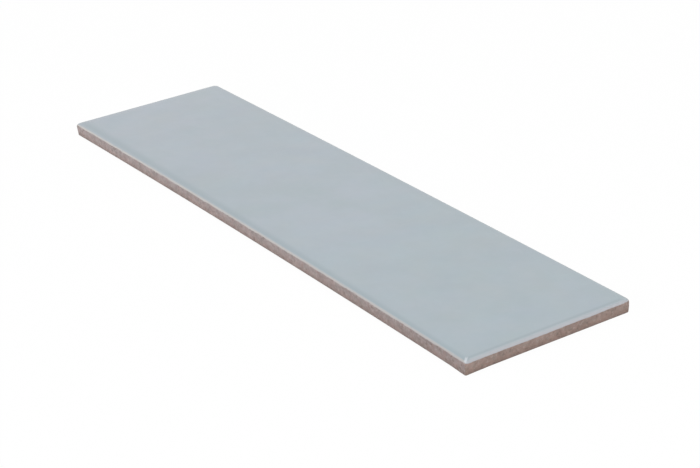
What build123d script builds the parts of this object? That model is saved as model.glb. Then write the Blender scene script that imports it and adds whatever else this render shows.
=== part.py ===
"""Glazed ceramic wall tile: one dry-pressed, fired piece with a soft-edged face and a grooved back.

Millimetres. The tile lies face up with its length along X and its width along Y.
The origin is under the middle of the tile, on the plane of the two flat lands that it stands on.
"""

import os

from build123d import *

# Format of the tile
tile_length = 400.0
tile_width = 100.0
tile_thickness = 7.4

# Firing leaves the tile a little arched: its middle stands this far above its ends
crown = 1.0
# The arched back is flattened by this much where it touches down, at both ends
foot_flat = 0.1

# The glazed face falls away towards its edges and rolls over into the sides
face_fall = 0.48
face_fall_run = 8.0
face_edge_radius = 1.5
corner_radius = 2.0
back_chamfer = 0.5

# Keying grooves in the back, which hold the adhesive
groove_count = 9
groove_pitch = 10.0
groove_width = 5.0
groove_depth = 0.6
groove_end_margin = 14.0

half_length = tile_length / 2
back_end_height = -foot_flat
groove_length = tile_length - 2 * groove_end_margin
# The grooves are cut from below the back, with this much to spare
cutting_room = 1.0


def crown_arc(height):
    """The arched line of the tile's length, at a height above the back."""
    end = back_end_height + height
    return ThreePointArc((-half_length, end), (0, end + crown), (half_length, end))


def is_upright(face):
    """True for the sides, the ends and the rounded corners between them."""
    return abs(face.normal_at().Z) < 0.1


# Cutter for the keying grooves: round-ended slots whose floors follow the arch
with BuildPart() as groove_cutter:
    with BuildSketch(Plane.XZ):
        with BuildLine():
            floor = crown_arc(groove_depth)
            below = back_end_height - cutting_room
            Polyline(floor @ 1, (half_length, below), (-half_length, below), floor @ 0)
        make_face()
    extrude(amount=tile_width / 2, both=True)
    with BuildSketch(Plane.XY.offset(below)):
        with GridLocations(0, groove_pitch, 1, groove_count):
            SlotOverall(groove_length, groove_width)
    extrude(amount=cutting_room + crown + groove_depth, mode=Mode.INTERSECT)


with BuildPart() as tile:
    # Pressed blank: the arched side view, carried across the width
    with BuildSketch(Plane.XZ):
        with BuildLine():
            back = crown_arc(0)
            face = crown_arc(tile_thickness)
            Line(back @ 0, face @ 0)
            Line(back @ 1, face @ 1)
        make_face()
    extrude(amount=tile_width / 2, both=True)

    # The face falls away gently along all four edges
    glazed_face = tile.faces().sort_by(Axis.Z)[-1]
    chamfer(glazed_face.edges(), length=face_fall_run, length2=face_fall, reference=glazed_face)

    # Rounded corners, a rolled glaze edge above and a broken edge below
    fillet(tile.edges().filter_by(Axis.Z), radius=corner_radius)
    walls = tile.faces().filter_by(is_upright)
    fillet([wall.edges().sort_by(Axis.Z)[-1] for wall in walls], radius=face_edge_radius)
    walls = tile.faces().filter_by(is_upright)
    chamfer([wall.edges().sort_by(Axis.Z)[0] for wall in walls], length=back_chamfer)

    # The tile stands on two flat lands, one across each end of the back
    split(bisect_by=Plane.XY, keep=Keep.TOP)
    add(groove_cutter.part, mode=Mode.SUBTRACT)

tile.part.label = "tile"

os.makedirs("parts", exist_ok=True)
export_step(tile.part, "parts/tile.step")
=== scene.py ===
"""Glazed wall tile on a plain pale floor: detailed mesh, glaze and fired body materials, light and camera."""

import math

import bmesh
import bpy
import numpy as np
from mathutils import Matrix, Vector, noise


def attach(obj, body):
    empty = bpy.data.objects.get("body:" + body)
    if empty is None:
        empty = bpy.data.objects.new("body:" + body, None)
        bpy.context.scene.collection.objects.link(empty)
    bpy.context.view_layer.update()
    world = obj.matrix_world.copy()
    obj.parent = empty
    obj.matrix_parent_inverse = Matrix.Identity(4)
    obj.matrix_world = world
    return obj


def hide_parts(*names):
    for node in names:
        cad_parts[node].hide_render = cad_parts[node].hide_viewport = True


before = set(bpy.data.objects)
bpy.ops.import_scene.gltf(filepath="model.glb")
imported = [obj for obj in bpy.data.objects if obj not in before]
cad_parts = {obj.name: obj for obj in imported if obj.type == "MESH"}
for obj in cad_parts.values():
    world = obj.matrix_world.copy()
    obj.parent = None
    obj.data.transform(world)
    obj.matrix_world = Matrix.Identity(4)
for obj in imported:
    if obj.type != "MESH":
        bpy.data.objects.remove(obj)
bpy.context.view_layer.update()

# Sizes of the tile, in millimetres
MM = 0.001
LENGTH = 400.0
WIDTH = 100.0
THICKNESS = 7.4
HALF_LENGTH = LENGTH / 2
HALF_WIDTH = WIDTH / 2
MID_HEIGHT = THICKNESS / 2
# Its middle stands this far above its ends, where the back is flattened a little
CROWN = 1.0
FOOT_FLAT = 0.1
# The long sides draw in by this much at mid length
WAIST = 0.6

# The face falls away along its edges, in a curve of this power, and rolls over into the sides
FALL = 0.35
SIDE_FALL_RUN = 8.0
END_FALL_RUN = 6.5
FALL_POWER = 1.7
# The falls of side and end join at a corner, the more sharply the higher this power is
JOIN_POWER = 5
# Down the sides the fall fades out between these heights
FALL_FADE = (1.0, 6.0)
ROLL_RADIUS = 1.5
ROLL_START = math.radians(5.0)
# The outer half of the roll counts as side
SIDE_START = math.radians(45.0)
# The face swells and dips by this much, over this size, and fully from this inset on
SWELL = 0.03
SWELL_SIZE = 38.0
SWELL_FULL = 5.5

# Corners: back right, back left, front left and front right
CORNER_SIGNS = ((1, 1), (-1, 1), (-1, -1), (1, -1))
BACK_RIGHT = CORNER_SIGNS[0]
FRONT_RIGHT = CORNER_SIGNS[3]
FACE_CORNER_RADII = (2.6, 3.2, 3.2, 2.0)
BODY_CORNER_RADII = (2.0, 2.8, 3.0, 0.6)
LEAST_CORNER_RADIUS = 0.35
# The radii change from the body's to the face's between these heights
CORNER_CHANGE = (3.0, 6.4)

# The glaze ends on the sides in a lip that stands out by a depth, at a height that rises on the long sides
LIP_DEPTH = 0.12
LIP_HEIGHT = 6.17
LIP_RISE = 0.44
LIP_HALF_BREADTH = 0.15
# It climbs by this much at the back right corner, over this distance
CORNER_LIFT = 0.2
CORNER_LIFT_RUN = 20.0
# It wanders up and down in long waves and in short ones
LONG_WAVE = 9.0
LONG_WAVE_RISE = 0.16
SHORT_WAVE = 3.2
SHORT_WAVE_RISE = 0.10

# Grain of the bare sides: its depth, its two sizes and the share of the fine one
GRAIN_DEPTH = 0.05
FINE_GRAIN = 1.6
COARSE_GRAIN = 4.5
FINE_SHARE = 0.6

# The sides lean in by this much down to the broken edge of the back
LEAN = 0.5
BROKEN_EDGE_TOP = 0.52
# Rings of the broken edge, as inset beyond the lean and height, and insets of the flat rim of the back
BROKEN_EDGE = ((0.05, 0.35), (0.18, 0.18), (0.36, 0.04))
BACK_RIM = (0.6, 1.4)
# The edge isn't broken at the front right corner: the foot stands out to this inset, over this distance
SHARP_FOOT_INSET = 0.3
SHARP_FOOT_RUN = 14.0
# Points with a smaller inset than this are on the sides
SIDE_INSET = 1.0

# Keying grooves of the back
GROOVES = 9
GROOVE_PITCH = 10.0
GROOVE_WIDTH = 5.0
GROOVE_DEPTH = 0.6
GROOVE_END_MARGIN = 14.0
# Half widths of a groove at its mouth and at its floor, with a sloping wall between them
GROOVE_WALL = 0.25
GROOVE_MOUTH = GROOVE_WIDTH / 2
GROOVE_FLOOR = GROOVE_MOUTH - GROOVE_WALL
# The grooved grid of the back stops this far inside the outline
BACK_MARGIN = 3.0

# Rings of the mesh on the face, closer where it falls, then on the roll and on the sides
FACE_INSETS = (HALF_WIDTH, 46.0, 40.0, 33.0, 26.0, 20.0, 15.0, 11.5, 9.5, 8.5, 7.7, 7.0, 6.3, 5.7, 5.1, 4.5,
               3.9, 3.4, 2.9, 2.45, 2.05, 1.75)
ROLL_RINGS = 12
SIDE_RINGS = 12
# Divisions of a ring: along the length, along the width and round a corner
SIDE_STEPS = 300
END_STEPS = 76
CORNER_STEPS = 6
RING_POINTS = 2 * (SIDE_STEPS + END_STEPS + 2 * CORNER_STEPS)
# Lines of the mesh on a groove's floor, as shares of the groove's half width
FLOOR_LINES = (-0.75, -0.4, 0.0, 0.4, 0.75)
# Distance of the mesh's lines from the middle of the land between two grooves
LAND_LINE = 1.0
# Steps along a groove, how far they stay from its rounded ends, and the line beyond those ends
GROOVE_STEPS = 92
GROOVE_STEP_MARGIN = 4.0
GROOVE_END_LINE = 5.0
# On lines beside a groove's floor, the points at the floor's end step back by this much
WALL_STEP = 0.3

# Points this near to each other are joined, and edges this short are taken away, in metres
JOIN_GAP = 1e-6
SHORTEST_EDGE = 1e-7
# Steeper edges than this are drawn sharp
SHARP_ANGLE = math.radians(32.0)

# Bands of the bake layout, as lowest place and height: the face, the back and the two halves of the sides
BAKE_MARGIN = 0.005
FACE_BAND = (0.005, 0.35)
BACK_BAND = (0.365, 0.33)
SIDE_BANDS = ((0.715, 0.13), (0.86, 0.13))

# Camera, solved from the outline in the photograph: angles, offsets in millimetres and places in pixels
IMAGE_WIDTH = 700.0
IMAGE_HEIGHT = 468.0
AZIMUTH = math.radians(57.2053)
ELEVATION = math.radians(24.6248)
ROLL = math.radians(-3.5369)
OFFSET_X = -30.8671
OFFSET_Y = 11.5993
DISTANCE = 1094.8231
FOCAL_PIXELS = 1998.3931
CENTRE_X = 377.558
CENTRE_Y = 234.0
SENSOR = 36.0
# How far the camera sees, in metres
VIEW_END = 50.0

# The floor, in metres: it lies a hair below the tile's feet
FLOOR_HALF = 6.0
FLOOR_DROP = 0.00005
FLOOR_PAPER = (0.92, 0.92, 0.92, 1.0)
# How much of the floor is plain white to the eye; the rest takes the tile's shadow
FLOOR_WHITE = 0.97
WHITE = (1.0, 1.0, 1.0, 1.0)
ROOM_LIGHT = 0.42

# Lamps: name, place and size in metres, power in watts, and whether the glaze mirrors the lamp
LAMPS = (
    ("high_right_box", (1.5, -0.2, 2.7), (2.0, 1.4), 37.0, False),
    ("high_left_box", (-1.3, 0.63, 2.46), (0.9, 0.9), 11.0, True),
    ("low_front_box", (-0.2, -1.9, 0.7), (1.4, 0.8), 13.0, False),
    ("low_right_box", (2.0, -0.4, 0.8), (1.0, 0.8), 7.4, False),
)


def ramp(value, low, high):
    """0 at the low value and 1 at the high one, straight between them and level beyond."""
    return np.clip((value - low) / (high - low), 0.0, 1.0)


def arch(x):
    """1 at mid length, down to 0 at the ends."""
    return 1.0 - (x / HALF_LENGTH) ** 2


def wander(xy, z, size, seed):
    """Smooth noise from about -1 to 1 that changes over the given size."""
    return np.array([noise.noise(Vector((x / size + seed, y / size, up / size)))
                     for (x, y), up in zip(xy, z)])


def nearness(xy, corner, run):
    """1 at a corner of the tile, given by its signs, down to 0 at a distance from it."""
    gap = np.hypot(HALF_LENGTH - corner[0] * xy[:, 0], HALF_WIDTH - corner[1] * xy[:, 1])
    return np.clip(1.0 - gap / run, 0.0, 1.0)


def outline(inset, radii):
    """A closed loop at an inset from the tile's outline, anticlockwise from the front of the right end."""
    half_x = HALF_LENGTH - inset
    half_y = HALF_WIDTH - inset
    radii = [max(min(radius, half_y, half_x), 0.0) for radius in radii]
    centres = [(sx * (half_x - r), sy * (half_y - r)) for (sx, sy), r in zip(CORNER_SIGNS, radii)]
    points = []
    for quarter, ((cx, cy), radius) in enumerate(zip(centres, radii)):
        turn = quarter * math.pi / 2
        outward = np.array((math.cos(turn), math.sin(turn)))
        leave = radii[quarter - 1] * outward + centres[quarter - 1]
        arrive = radius * outward + (cx, cy)
        # the straight run that leads to this corner, and the corner
        steps = END_STEPS if quarter % 2 == 0 else SIDE_STEPS
        points += [leave + (arrive - leave) * i / steps for i in range(steps)]
        for i in range(CORNER_STEPS):
            angle = turn + math.pi / 2 * i / CORNER_STEPS
            points.append((cx + radius * math.cos(angle), cy + radius * math.sin(angle)))
    return np.array(points)


def corner_radii(inset, height):
    """Radii of the four corners of the ring at an inset and a height."""
    share = ramp(height, *CORNER_CHANGE) ** 2
    return [max(body + (face - body) * share - inset, LEAST_CORNER_RADIUS)
            for body, face in zip(BODY_CORNER_RADII, FACE_CORNER_RADII)]


def outward_directions(loop):
    """The direction away from the tile at each point of a loop."""
    ahead = np.roll(loop, -1, axis=0) - np.roll(loop, 1, axis=0)
    outward = np.stack([ahead[:, 1], -ahead[:, 0]], 1)
    return outward / np.linalg.norm(outward, axis=1)[:, None]


def fall_off(distance, run):
    """How far the face has dropped at a distance from one edge."""
    return FALL * np.clip(1.0 - np.maximum(distance, ROLL_RADIUS) / run, 0.0, 1.0) ** FALL_POWER


def face_fall(xy):
    """How far the face has dropped at a place: the falls of the side and of the end join at a corner."""
    side = fall_off(HALF_WIDTH - np.abs(xy[:, 1]), SIDE_FALL_RUN)
    end = fall_off(HALF_LENGTH - np.abs(xy[:, 0]), END_FALL_RUN)
    return (side ** JOIN_POWER + end ** JOIN_POWER) ** (1 / JOIN_POWER)


def lip_height(rim, outward):
    """Height of the glaze's lower edge at each point of the outline."""
    level = np.zeros(len(rim))
    lip = LIP_HEIGHT + LIP_RISE * outward[:, 1] ** 2
    lip += CORNER_LIFT * nearness(rim, BACK_RIGHT, CORNER_LIFT_RUN)
    lip += LONG_WAVE_RISE * wander(rim, level, LONG_WAVE, seed=3.0)
    lip += SHORT_WAVE_RISE * wander(rim, level, SHORT_WAVE, seed=17.0)
    return lip


def edge_section():
    """Rings of the tile as (inset, height above the back, part), from the middle of the face to the back."""
    rings = [(inset, THICKNESS, "face") for inset in FACE_INSETS]
    for angle in np.linspace(ROLL_START, math.pi / 2, ROLL_RINGS):
        inset = ROLL_RADIUS * (1 - math.sin(angle))
        drop = ROLL_RADIUS * (1 - math.cos(angle))
        rings.append((inset, THICKNESS - drop, "face" if angle < SIDE_START else "side"))
    roll_end = THICKNESS - ROLL_RADIUS
    for i in range(1, SIDE_RINGS + 1):
        share = i / SIDE_RINGS
        rings.append((LEAN * share, roll_end + (BROKEN_EDGE_TOP - roll_end) * share, "side"))
    rings += [(LEAN + inset, height, "side") for inset, height in BROKEN_EDGE]
    rings += [(LEAN + inset, 0.0, "back") for inset in BACK_RIM]
    return rings


def groove_lines():
    """Lines along the back, as (place across the width, distance from the middle of a groove)."""
    edge = HALF_WIDTH - BACK_MARGIN
    floor_lines = [share * GROOVE_MOUTH for share in FLOOR_LINES]
    offsets = (-GROOVE_MOUTH, -GROOVE_FLOOR, *floor_lines, GROOVE_FLOOR, GROOVE_MOUTH)
    lines = [(-edge, GROOVE_MOUTH)]
    for i in range(GROOVES):
        middle = (i - (GROOVES - 1) / 2) * GROOVE_PITCH
        lines += [(middle + offset, abs(offset)) for offset in offsets]
        if i < GROOVES - 1:
            land = middle + GROOVE_PITCH / 2
            lines += [(land - LAND_LINE, GROOVE_MOUTH), (land + LAND_LINE, GROOVE_MOUTH)]
    lines.append((edge, GROOVE_MOUTH))
    return lines


def groove_grid():
    """The back as rows of points (x, y, depth) on lines that follow the round-ended grooves."""
    tangent = HALF_LENGTH - GROOVE_END_MARGIN - GROOVE_MOUTH
    stretch = tangent - GROOVE_STEP_MARGIN
    rows = []
    for across, off in groove_lines():
        on_floor = off <= GROOVE_FLOOR
        floor_end = tangent - WALL_STEP
        if on_floor:
            floor_end = tangent + math.sqrt(GROOVE_FLOOR ** 2 - off ** 2)
        mouth_end = tangent + math.sqrt(GROOVE_MOUTH ** 2 - off ** 2)
        beyond = (mouth_end, tangent + GROOVE_MOUTH + GROOVE_END_LINE, HALF_LENGTH - BACK_MARGIN)
        ends = [(floor_end, on_floor), *((x, False) for x in beyond)]
        row = [(-x, deep) for x, deep in reversed(ends)]
        row += [(x, on_floor) for x in np.linspace(-stretch, stretch, GROOVE_STEPS + 1)]
        row += ends
        rows.append([(x, across, GROOVE_DEPTH * deep) for x, deep in row])
    return np.array(rows)


def zip_loops(points, outer, inner):
    """Triangles between two closed loops that run the same way round."""
    def shares(loop):
        """How far round each point lies, as a share of the loop's length."""
        xy = points[loop][:, :2]
        length = np.linalg.norm(np.roll(xy, -1, axis=0) - xy, axis=1)
        return np.concatenate([[0.0], np.cumsum(length) / length.sum()])

    start = points[inner[0]][:2]
    shift = int(np.argmin(np.linalg.norm(points[outer][:, :2] - start, axis=1)))
    outer = outer[shift:] + outer[:shift]
    outer_shares = shares(outer)
    inner_shares = shares(inner)
    i = j = 0
    while i < len(outer) or j < len(inner):
        a = outer[i % len(outer)]
        b = inner[j % len(inner)]
        if j >= len(inner) or (i < len(outer) and outer_shares[i + 1] <= inner_shares[j + 1]):
            yield (a, b, outer[(i + 1) % len(outer)])
            i += 1
        else:
            yield (a, b, inner[(j + 1) % len(inner)])
            j += 1


def build_rings(section):
    """Points of the rings in millimetres, and the values that the material reads at each of them."""
    xy = np.concatenate([outline(inset, corner_radii(inset, height)) for inset, height, _ in section])
    inset = np.repeat([ring[0] for ring in section], RING_POINTS)
    height = np.repeat([ring[1] for ring in section], RING_POINTS)
    rim = outline(0.0, BODY_CORNER_RADII)
    rim_outward = outward_directions(rim)
    outward = np.tile(rim_outward, (len(section), 1))

    # the face falls towards its edges, and takes the rolled edge and the top of the sides with it
    on_face = (inset > ROLL_RADIUS) & (height > MID_HEIGHT)
    fall = np.where(on_face, face_fall(xy), np.tile(face_fall(rim), len(section)))
    height = height - fall * ramp(height, *FALL_FADE)

    # the glaze ends in a thin uneven lip, and the bare body below it lies back a little
    above_lip = height - np.tile(lip_height(rim, rim_outward), len(section))
    on_side = inset < SIDE_INSET
    bare = ramp(above_lip, LIP_HALF_BREADTH, -LIP_HALF_BREADTH)
    bare = bare * bare * (3 - 2 * bare) * on_side
    grain = FINE_SHARE * wander(xy, height, FINE_GRAIN, seed=5.0)
    grain += (1 - FINE_SHARE) * wander(xy, height, COARSE_GRAIN, seed=9.0)
    xy = xy - outward * (bare * (LIP_DEPTH + GRAIN_DEPTH * grain))[:, None]

    # the foot of the front right corner is sharp
    foot = on_side & (inset > SHARP_FOOT_INSET) & (height < MID_HEIGHT)
    stand_out = foot * (inset - SHARP_FOOT_INSET) * nearness(xy, FRONT_RIGHT, SHARP_FOOT_RUN)
    xy = xy + outward * stand_out[:, None]

    # the face is nearly flat, with a slow unevenness
    swell = SWELL * wander(xy, np.zeros(len(xy)), SWELL_SIZE, seed=1.0)
    height = height + swell * ramp(inset, ROLL_RADIUS, SWELL_FULL) * (height > MID_HEIGHT)

    across = xy[:, 1] * (1.0 - WAIST / HALF_WIDTH * arch(xy[:, 0]))
    z = np.maximum(CROWN * arch(xy[:, 0]) - FOOT_FLAT + height, 0.0)
    values = {
        "lip": np.where(on_side, above_lip, THICKNESS * np.sign(height - MID_HEIGHT)),
        "from_side": HALF_WIDTH - np.abs(xy[:, 1]),
        "from_end": HALF_LENGTH - np.abs(xy[:, 0]),
        "from_front": HALF_WIDTH + xy[:, 1],
        "from_right": HALF_LENGTH - xy[:, 0],
        "height": height,
    }
    return np.column_stack([xy[:, 0], across, z]), values


def build_tile(section):
    """Points of the tile in millimetres, its faces, the part of each face, and the values of each point."""
    points, values = build_rings(section)
    rings = np.arange(len(points)).reshape(len(section), RING_POINTS).tolist()
    faces = []
    parts = []
    for ring, next_ring, (_, _, part) in zip(rings, rings[1:], section[1:]):
        faces += zip(ring, next_ring, next_ring[1:] + next_ring[:1], ring[1:] + ring[:1])
        parts += [part] * RING_POINTS

    # the grooved back, joined to the last ring by a strip of triangles
    back = groove_grid()
    rows, columns = back.shape[:2]
    x, y, depth = back.reshape(-1, 3).T
    z = np.maximum(CROWN * arch(x) - FOOT_FLAT, 0.0) + depth
    grid = (len(points) + np.arange(rows * columns)).reshape(rows, columns).tolist()
    points = np.concatenate([points, np.column_stack([x, y, z])])
    for row, next_row in zip(grid, grid[1:]):
        faces += zip(row, next_row, next_row[1:], row[1:])
    # once round the border of the grid
    border = [row[-1] for row in grid[:-1]] + grid[-1][:0:-1]
    border += [row[0] for row in grid[:0:-1]] + grid[0][:-1]
    faces += zip_loops(points, rings[-1], border)
    parts += ["back"] * (len(faces) - len(parts))

    # the back is far below the lip and far from every edge
    on_back = {"lip": np.full(len(x), -THICKNESS), "height": -depth}
    far = np.full(len(x), HALF_WIDTH)
    values = {name: np.concatenate([ring_values, on_back.get(name, far)])
              for name, ring_values in values.items()}
    return points, faces, parts, values


def bake_places(mesh, parts, section, points):
    """A flat layout of the tile: face, back and the two halves of the outline as strips."""
    half = RING_POINTS // 2
    span = 1 - 2 * BAKE_MARGIN
    uv = np.zeros((len(mesh.loops), 2))

    # how far each ring lies down the section, from the first ring of the sides to the last
    down = [0.0]
    for (inset, height, _), (next_inset, next_height, _) in zip(section, section[1:]):
        down.append(down[-1] + math.hypot(next_inset - inset, next_height - height))
    sides = [k for k, ring in enumerate(section) if ring[2] == "side"]
    top = down[sides[0] - 1]
    bottom = down[sides[-1]]

    for polygon, part in zip(mesh.polygons, parts):
        loops = list(polygon.loop_indices)
        corners = [mesh.loops[k].vertex_index for k in loops]
        if part == "side":
            around = [v % RING_POINTS for v in corners]
            if max(around) - min(around) > half:
                around = [a + RING_POINTS if a == 0 else a for a in around]
            strip = 0 if min(around) < half else 1
            low, tall = SIDE_BANDS[strip]
            for k, v, a in zip(loops, corners, around):
                share = (down[v // RING_POINTS] - top) / (bottom - top)
                uv[k] = (BAKE_MARGIN + span * (a - strip * half) / half, low + tall * (1 - share))
        else:
            low, tall = FACE_BAND if part == "face" else BACK_BAND
            for k, v in zip(loops, corners):
                x, y = points[v, :2]
                uv[k] = (BAKE_MARGIN + span * (x / LENGTH + 0.5), low + tall * (y / WIDTH + 0.5))
    layer = mesh.uv_layers.new(name="OFBake")
    layer.uv.foreach_set("vector", uv.astype(np.float32).ravel())


def make_tile():
    """The tile as one closed mesh, with the values that its material reads."""
    section = edge_section()
    points, faces, parts, values = build_tile(section)
    mesh = bpy.data.meshes.new("glazed_tile")
    mesh.from_pydata([tuple(point) for point in points * MM], [], faces)
    bake_places(mesh, parts, section, points)
    for name, numbers in values.items():
        layer = mesh.attributes.new(name, "FLOAT", "POINT")
        layer.data.foreach_set("value", numbers.astype(np.float32))
    piece = bpy.data.objects.new("glazed_tile", mesh)
    bpy.context.scene.collection.objects.link(piece)

    # the innermost ring of the face has no width, so its points are joined in pairs
    shape = bmesh.new()
    shape.from_mesh(mesh)
    shape.verts.ensure_lookup_table()
    bmesh.ops.remove_doubles(shape, verts=shape.verts[:2 * RING_POINTS], dist=JOIN_GAP)
    bmesh.ops.dissolve_degenerate(shape, edges=shape.edges[:], dist=SHORTEST_EDGE)
    bmesh.ops.recalc_face_normals(shape, faces=shape.faces[:])
    shape.to_mesh(mesh)
    shape.free()
    for polygon in mesh.polygons:
        polygon.use_smooth = True
    mesh.set_sharp_from_angle(angle=SHARP_ANGLE)
    return piece


# The middle range of a noise, which its clouds stretch over
CLOUD_RANGE = (0.3, 0.7)
# A mix node has sockets of its own for each kind of value: these are for colours and for numbers
COLOUR_INPUTS = (6, 7)
COLOUR_OUTPUT = 2
NUMBER_INPUTS = (2, 3)
NUMBER_OUTPUT = 0


class Nodes:
    """Short ways to add and join the nodes of a material or of the world."""

    def __init__(self, owner):
        owner.use_nodes = True
        self.tree = owner.node_tree
        self.tree.nodes.clear()

    def add(self, kind, inputs=(), **settings):
        """A node with its settings, and with a link or a value on each of the named inputs."""
        node = self.tree.nodes.new(kind)
        for name, value in settings.items():
            setattr(node, name, value)
        for name, value in dict(inputs).items():
            self.put(node.inputs[name], value)
        return node

    def put(self, socket, value):
        """A link to a socket, or a value on it."""
        if isinstance(value, bpy.types.NodeSocket):
            self.tree.links.new(value, socket)
        else:
            socket.default_value = value

    def number(self, name):
        """A value kept on the points of the mesh."""
        return self.add("ShaderNodeAttribute", attribute_name=name, attribute_type="GEOMETRY").outputs["Fac"]

    def noise(self, at, size, detail, rough=0.5):
        """Noise from 0 to 1 that changes over a size in millimetres."""
        inputs = {"Vector": at, "Scale": 1.0 / (size * MM), "Detail": detail, "Roughness": rough}
        return self.add("ShaderNodeTexNoise", inputs).outputs["Fac"]

    def span(self, value, low, high, to_low=0.0, to_high=1.0, smooth=True):
        """A range of a value carried over to another range, and held at its ends."""
        inputs = {"Value": value, "From Min": low, "From Max": high, "To Min": to_low, "To Max": to_high}
        node = self.add("ShaderNodeMapRange", inputs)
        node.interpolation_type = "SMOOTHSTEP" if smooth else "LINEAR"
        return node.outputs["Result"]

    def clouds(self, at, size, swing, detail, rough=0.5, smooth=False):
        """Noise as a factor that swings about 1."""
        cloud = self.noise(at, size, detail, rough)
        return self.span(cloud, *CLOUD_RANGE, 1 - swing, 1 + swing, smooth)

    def math(self, operation, a, b):
        """A sum on two numbers, of which some operations use only the first."""
        return self.add("ShaderNodeMath", {0: a, 1: b}, operation=operation).outputs["Value"]

    def times(self, a, b):
        return self.math("MULTIPLY", a, b)

    def most(self, a, b):
        return self.math("MAXIMUM", a, b)

    def mix(self, share, a, b, kind="MIX"):
        """Two colours in one, by the share of the second."""
        node = self.add("ShaderNodeMix", data_type="RGBA", blend_type=kind)
        self.put(node.inputs["Factor"], share)
        for place, colour in zip(COLOUR_INPUTS, (a, b)):
            self.put(node.inputs[place], colour)
        return node.outputs[COLOUR_OUTPUT]

    def tinted(self, colour, red, green, blue):
        """A colour with a factor on each of its channels."""
        factors = self.add("ShaderNodeCombineColor", {0: red, 1: green, 2: blue})
        return self.mix(1.0, colour, factors.outputs[0], "MULTIPLY")

    def blend(self, share, a, b):
        """Two numbers in one, by the share of the second."""
        node = self.add("ShaderNodeMix", data_type="FLOAT")
        self.put(node.inputs["Factor"], share)
        for place, number in zip(NUMBER_INPUTS, (a, b)):
            self.put(node.inputs[place], number)
        return node.outputs[NUMBER_OUTPUT]

    def left_to_right(self, at, to_left=0.0, to_right=1.0):
        """A number that changes evenly from the left end of the tile to the right one."""
        along = self.add("ShaderNodeSeparateXYZ", {0: at}).outputs["X"]
        return self.span(along, -HALF_LENGTH * MM, HALF_LENGTH * MM, to_left, to_right, smooth=False)

    def seen(self):
        """1 for what is seen, also in a reflection or through glass, and 0 for what only gives light."""
        path = self.add("ShaderNodeLightPath").outputs
        direct_or_mirrored = self.most(path["Is Camera Ray"], path["Is Glossy Ray"])
        return self.most(direct_or_mirrored, path["Is Transmission Ray"])


# Glaze: blue-grey, a little greener at the right end. Below, a range of distances from an edge is in
# millimetres and runs from where a change starts to where it is full
GLAZE_LEFT = (0.370, 0.421, 0.469, 1.0)
GLAZE_RIGHT = (0.367, 0.432, 0.470, 1.0)
# Sizes of its clouds in lightness, in red and in blue, and how far they swing
LIGHT_CLOUD = 26.0
LIGHT_SWING = 0.028
LIGHT_ROUGHNESS = 0.62
RED_CLOUD = 17.0
RED_SWING = 0.022
BLUE_CLOUD = 21.0
BLUE_SWING = 0.020
# It gathers in a darker band inside the edges, which painted shade deepens along the front and right: where
# the band starts, is full and ends
SIDE_BAND = (9.0, 3.5, 1.0)
END_BAND = (4.8, 2.9, 1.5)
SIDE_POOL_AND_SHADE = (0.295, 0.36, 0.395, 1.0)
END_POOL_AND_SHADE = (0.295, 0.341, 0.367, 1.0)
# The band is weak all round, where the glaze gathers, and painted shade makes it stronger along the front
# edge and the right one
ALL_GATHERED = 0.1
FRONT_PAINTED_SHADE = 0.62
RIGHT_PAINTED_SHADE = 0.38
# The painted shade along the front edge narrows by these factors, from the left end to the right
FRONT_SHADE_NARROWING = (0.85, 1.75)
# It is thinner towards the short edges, but not beside the long ones
THINNER = (2.6, 1.5)
THINNER_FROM_SIDE = (2.0, 4.0)
THINNER_SHARE = 0.35
THINNER_COLOUR = (0.46, 0.467, 0.49, 1.0)
# Over the roll it is pale where the glaze is thin: mostly over its outer part, and over all of it near the
# front and right edges, where the pale is also a painted highlight
PALE_ON_END = (1.5, 0.6)
PALE_ON_SIDE = (1.7, 0.8)
OUTER_ON_END = (1.0, 0.5)
OUTER_ON_SIDE = (1.1, 0.6)
PALE_HIGHLIGHT_NEAR = (12.0, 6.0)
PALE_ELSEWHERE = 0.2
PALE_LEFT = (0.529, 0.510, 0.490, 1.0)
PALE_RIGHT = (0.436, 0.420, 0.414, 1.0)
PALE_END = (0.437, 0.446, 0.474, 1.0)
# The pale line is uneven: size of its noise, the noise's range and the least that is left
UNEVEN_SIZE = 3.0
UNEVEN_RANGE = (0.2, 0.6)
UNEVEN_LEAST = 0.7
# It is pale on the ridges that run into the corners, where the glaze is thin, and a painted highlight makes
# the front right one the palest
RIDGE_BREADTH = (1.3, 0.4)
RIDGE_START = (0.5, 1.1)
RIDGE_END = (4.2, 2.6)
RIDGE_COLOUR = (0.60, 0.64, 0.685, 1.0)
ALL_RIDGES = 0.2
FRONT_RIGHT_RIDGE_HIGHLIGHT = 0.65


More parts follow.
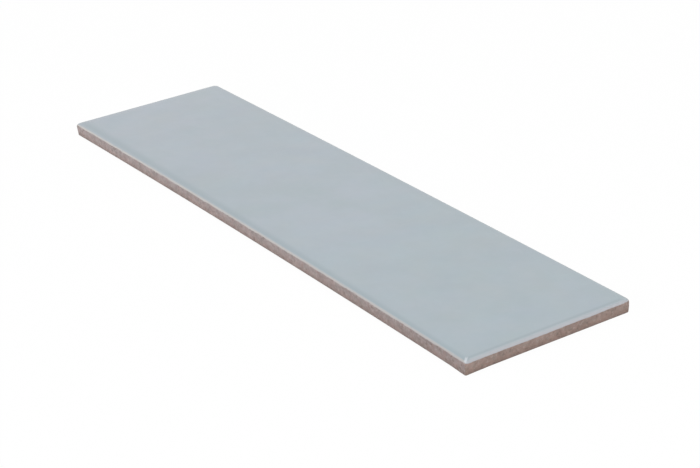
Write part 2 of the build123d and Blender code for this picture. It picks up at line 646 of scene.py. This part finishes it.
def glaze_colour(n, at):
    """Colour of the glaze: clouds, darker where it is gathered and paler where it is thin, with painted shade
    inside the front and right edges and painted highlights over their roll and on the front right corner.
    """
    from_side = n.number("from_side")
    from_end = n.number("from_end")
    from_front = n.number("from_front")
    from_right = n.number("from_right")

    # clouds in lightness and in tint
    glaze = n.mix(n.left_to_right(at), GLAZE_LEFT, GLAZE_RIGHT)
    light = n.clouds(at, LIGHT_CLOUD, LIGHT_SWING, detail=4.0, rough=LIGHT_ROUGHNESS)
    red = n.times(light, n.clouds(at, RED_CLOUD, RED_SWING, detail=3.0))
    blue = n.times(light, n.clouds(at, BLUE_CLOUD, BLUE_SWING, detail=3.0))
    glaze = n.tinted(glaze, red, light, blue)

    # gathered inside the edges, with painted shade inside the front and right ones
    front_shade_band = n.times(from_front, n.left_to_right(at, *FRONT_SHADE_NARROWING))
    for distance, (start, full, end), share, dark in (
            (from_side, SIDE_BAND, ALL_GATHERED, SIDE_POOL_AND_SHADE),
            (front_shade_band, SIDE_BAND, FRONT_PAINTED_SHADE, SIDE_POOL_AND_SHADE),
            (from_end, END_BAND, ALL_GATHERED, END_POOL_AND_SHADE),
            (from_right, END_BAND, RIGHT_PAINTED_SHADE, END_POOL_AND_SHADE)):
        band = n.times(n.span(distance, start, full), n.span(distance, end, full))
        glaze = n.mix(n.times(band, share), glaze, dark)

    # thinner towards the short edges
    thinner = n.times(n.span(from_end, *THINNER), n.span(from_side, *THINNER_FROM_SIDE))
    glaze = n.mix(n.times(thinner, THINNER_SHARE), glaze, THINNER_COLOUR)

    # pale over the roll, with a painted highlight near the front and right edges
    near_front = n.span(from_front, *PALE_HIGHLIGHT_NEAR, PALE_ELSEWHERE, 1.0)
    near_right = n.span(from_right, *PALE_HIGHLIGHT_NEAR, PALE_ELSEWHERE, 1.0)
    whole = n.most(n.span(from_end, *PALE_ON_END), n.span(from_side, *PALE_ON_SIDE))
    outer = n.most(n.span(from_end, *OUTER_ON_END), n.span(from_side, *OUTER_ON_SIDE))
    on_roll = n.most(n.times(whole, n.most(near_front, near_right)), outer)
    uneven = n.span(n.noise(at, UNEVEN_SIZE, detail=2.0), *UNEVEN_RANGE, UNEVEN_LEAST, 1.0)
    pale = n.mix(n.left_to_right(at), PALE_LEFT, PALE_RIGHT)
    pale = n.mix(n.math("LESS_THAN", from_end, from_side), pale, PALE_END)
    glaze = n.mix(n.times(on_roll, uneven), glaze, pale)

    # pale on the ridges into the corners, with a painted highlight on the front right one
    for side, end, share in ((from_side, from_end, ALL_RIDGES), (from_front, from_right, FRONT_RIGHT_RIDGE_HIGHLIGHT)):
        off_ridge = n.math("ABSOLUTE", n.math("SUBTRACT", side, end), 0.0)
        nearest = n.math("MINIMUM", side, end)
        reach = n.times(n.span(nearest, *RIDGE_START), n.span(nearest, *RIDGE_END))
        ridge = n.times(n.span(off_ridge, *RIDGE_BREADTH), reach)
        glaze = n.mix(n.times(ridge, share), glaze, RIDGE_COLOUR)
    return glaze


# Fired body: pinkish grey on the long sides and warmer at the ends, redder towards the back
BODY_SIDE = (0.350, 0.300, 0.293, 1.0)
BODY_END = (0.362, 0.287, 0.254, 1.0)
LOWER_SIDE = (0.350, 0.276, 0.260, 1.0)
LOWER_END = (0.349, 0.256, 0.217, 1.0)
LOWER_HEIGHTS = (5.5, 0.8)
# How far a surface faces along the length where it starts to be an end, and where it is one
END_FACING = (0.35, 0.75)
# Small patches in tint, pink and olive, and in lightness
TINT_SIZE = 2.4
TINT_SHARE = 0.35
PINK_RANGE = (0.52, 0.66)
PINK = (0.39, 0.275, 0.25, 1.0)
OLIVE_RANGE = (0.48, 0.34)
OLIVE = (0.29, 0.275, 0.245, 1.0)
PATCH_SIZE = 3.6
PATCH_SWING = 0.14
PATCH_ROUGHNESS = 0.6
# Factors that make it browner and darker from the left end to the right
FACTORS_LEFT = (1.056, 1.043, 1.057, 1.0)
FACTORS_RIGHT = (0.82, 0.778, 0.772, 1.0)
# Dark and pale grains: ranges of their noise and how strong they are
GRAIN_SIZE = 1.7
GRAIN_ROUGHNESS = 0.6
DARK_GRAIN_RANGE = (0.55, 0.72)
DARK_GRAIN_SHARE = 0.75
DARK_GRAIN = (0.16, 0.12, 0.105, 1.0)
PALE_GRAIN_RANGE = (0.46, 0.28)
PALE_GRAIN_SIDE_SHARE = 0.5
PALE_GRAIN_END_SHARE = 0.3
PALE_GRAIN = (0.52, 0.46, 0.43, 1.0)
# Painted shade: it is darker towards the foot
FOOT_SHADE_HEIGHTS = (3.2, 0.0)
FOOT_SHADE_SHARE = 0.45
FOOT_SHADE = (0.17, 0.135, 0.12, 1.0)


def body_colour(n, at, grain):
    """Colour of the bare fired body, with painted shade at its foot."""
    height = n.number("height")
    facing = n.add("ShaderNodeNewGeometry").outputs["Normal"]
    facing_x = n.add("ShaderNodeSeparateXYZ", {0: facing}).outputs["X"]
    end = n.span(n.math("ABSOLUTE", facing_x, 0.0), *END_FACING)
    upper = n.mix(end, BODY_SIDE, BODY_END)
    body = n.mix(n.span(height, *LOWER_HEIGHTS), upper, n.mix(end, LOWER_SIDE, LOWER_END))

    # patches in tint and in lightness
    tint = n.noise(at, TINT_SIZE, detail=3.0)
    body = n.mix(n.span(tint, *PINK_RANGE, 0.0, TINT_SHARE), body, PINK)
    body = n.mix(n.span(tint, *OLIVE_RANGE, 0.0, TINT_SHARE), body, OLIVE)
    patches = n.clouds(at, PATCH_SIZE, PATCH_SWING, detail=4.0, rough=PATCH_ROUGHNESS, smooth=True)
    body = n.tinted(body, patches, patches, patches)
    body = n.mix(1.0, body, n.mix(n.left_to_right(at), FACTORS_LEFT, FACTORS_RIGHT), "MULTIPLY")

    # grains, and painted shade at the foot
    body = n.mix(n.span(grain, *DARK_GRAIN_RANGE, 0.0, DARK_GRAIN_SHARE), body, DARK_GRAIN)
    pale_share = n.blend(end, PALE_GRAIN_SIDE_SHARE, PALE_GRAIN_END_SHARE)
    body = n.mix(n.times(n.span(grain, *PALE_GRAIN_RANGE), pale_share), body, PALE_GRAIN)
    return n.mix(n.span(height, *FOOT_SHADE_HEIGHTS, 0.0, FOOT_SHADE_SHARE), body, FOOT_SHADE)


# The glaze's lower edge is ragged by this many millimetres, over this size, and this soft
RAGGED = 0.22
RAGGED_SIZE = 1.1
EDGE_SOFTNESS = 0.10
# Roughness of the glaze and of the body
GLAZE_ROUGHNESS = (0.15, 0.20)
GLOSS_CLOUD = 25.0
BODY_ROUGHNESS = (0.78, 0.92)
REFRACTION = 1.5
# Relief in millimetres: slow waves in the glaze and sand on the body
WAVE_SIZE = 17.0
WAVE_HEIGHT = 0.010
SAND_SIZE = 0.55
SAND_HEIGHT = 0.14
SAND_ROUGHNESS = 0.7


def tile_material():
    """Glaze above its lip, bare fired body below it."""
    material = bpy.data.materials.new("glaze_on_fired_body")
    n = Nodes(material)
    at = n.add("ShaderNodeTexCoord").outputs["Object"]
    grain = n.noise(at, GRAIN_SIZE, detail=4.0, rough=GRAIN_ROUGHNESS)
    ragged = n.span(n.noise(at, RAGGED_SIZE, detail=3.0), 0.0, 1.0, -RAGGED, RAGGED, smooth=False)
    glazed = n.span(n.math("ADD", n.number("lip"), ragged), -EDGE_SOFTNESS, EDGE_SOFTNESS)
    colour = n.mix(glazed, body_colour(n, at, grain), glaze_colour(n, at))

    gloss = n.span(n.noise(at, GLOSS_CLOUD, detail=3.0), *CLOUD_RANGE, *GLAZE_ROUGHNESS)
    matt = n.span(grain, *CLOUD_RANGE, *BODY_ROUGHNESS)
    waves = n.times(n.noise(at, WAVE_SIZE, detail=0.0), WAVE_HEIGHT)
    sand = n.times(n.noise(at, SAND_SIZE, detail=4.0, rough=SAND_ROUGHNESS), SAND_HEIGHT)
    relief = n.blend(glazed, sand, waves)
    bump = n.add("ShaderNodeBump", {"Strength": 1.0, "Distance": MM, "Height": relief})
    surface = n.add("ShaderNodeBsdfPrincipled", {
        "Base Color": colour,
        "Roughness": n.blend(glazed, matt, gloss),
        "IOR": REFRACTION,
        "Normal": bump.outputs["Normal"],
    })
    n.add("ShaderNodeOutputMaterial", {"Surface": surface.outputs["BSDF"]})
    return material


def floor_material():
    """White paper to the eye, with a trace of shadow, and pale paper to the light."""
    material = bpy.data.materials.new("pale_floor")
    n = Nodes(material)
    paper = n.add("ShaderNodeBsdfDiffuse", {"Color": FLOOR_PAPER})
    white = n.add("ShaderNodeEmission", {"Color": WHITE, "Strength": 1.0})
    share = n.times(n.seen(), FLOOR_WHITE)
    mixed = n.add("ShaderNodeMixShader", {0: share, 1: paper.outputs[0], 2: white.outputs[0]})
    n.add("ShaderNodeOutputMaterial", {"Surface": mixed.outputs[0]})
    return material


def make_floor():
    """A large flat square under the tile."""
    mesh = bpy.data.meshes.new("floor")
    corners = [(sx * FLOOR_HALF, sy * FLOOR_HALF, 0.0) for sx, sy in CORNER_SIGNS]
    mesh.from_pydata(corners, [], [(0, 1, 2, 3)])
    floor = bpy.data.objects.new("floor", mesh)
    bpy.context.scene.collection.objects.link(floor)
    floor.location.z = -FLOOR_DROP
    mesh.materials.append(floor_material())
    return floor


def make_world():
    """Even light from all round, in a room that is white to the eye."""
    world = bpy.data.worlds.new("studio")
    bpy.context.scene.world = world
    n = Nodes(world)
    room = n.add("ShaderNodeBackground", {"Color": WHITE, "Strength": ROOM_LIGHT})
    white = n.add("ShaderNodeBackground", {"Color": WHITE, "Strength": 1.0})
    mixed = n.add("ShaderNodeMixShader", {0: n.seen(), 1: room.outputs[0], 2: white.outputs[0]})
    n.add("ShaderNodeOutputWorld", {"Surface": mixed.outputs[0]})


def softbox(name, place, size, power, mirrored):
    """A soft lamp that faces the tile."""
    light = bpy.data.lights.new(name, "AREA")
    light.shape = "RECTANGLE"
    light.size, light.size_y = size
    light.energy = power
    lamp = bpy.data.objects.new(name, light)
    bpy.context.scene.collection.objects.link(lamp)
    lamp.location = place
    lamp.rotation_euler = (-Vector(place)).to_track_quat("-Z", "Y").to_euler()
    lamp.visible_glossy = mirrored


def make_camera():
    """The photograph's camera: its direction and roll, its place and its lens."""
    flat = math.cos(ELEVATION)
    back = Vector((math.sin(AZIMUTH) * flat, -math.cos(AZIMUTH) * flat, math.sin(ELEVATION)))
    level = Vector((math.cos(AZIMUTH), math.sin(AZIMUTH), 0.0))
    upright = back.cross(level)
    right = level * math.cos(ROLL) + upright * math.sin(ROLL)
    up = upright * math.cos(ROLL) - level * math.sin(ROLL)
    place = back * DISTANCE - right * OFFSET_X - up * OFFSET_Y
    data = bpy.data.cameras.new("camera")
    data.sensor_width = SENSOR
    data.lens = FOCAL_PIXELS / IMAGE_WIDTH * SENSOR
    data.shift_x = (IMAGE_WIDTH / 2 - CENTRE_X) / IMAGE_WIDTH
    data.shift_y = (CENTRE_Y - IMAGE_HEIGHT / 2) / IMAGE_WIDTH
    data.clip_end = VIEW_END
    camera = bpy.data.objects.new("camera", data)
    bpy.context.scene.collection.objects.link(camera)
    turn = Matrix((right, up, back)).transposed()
    camera.matrix_world = Matrix.Translation(place * MM) @ turn.to_4x4()
    bpy.context.scene.camera = camera


tile = make_tile()
tile.data.materials.append(tile_material())
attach(tile, "root")
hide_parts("tile")

make_floor()
make_world()
for lamp_values in LAMPS:
    softbox(*lamp_values)
make_camera()
bpy.context.scene.view_settings.view_transform = "Standard"
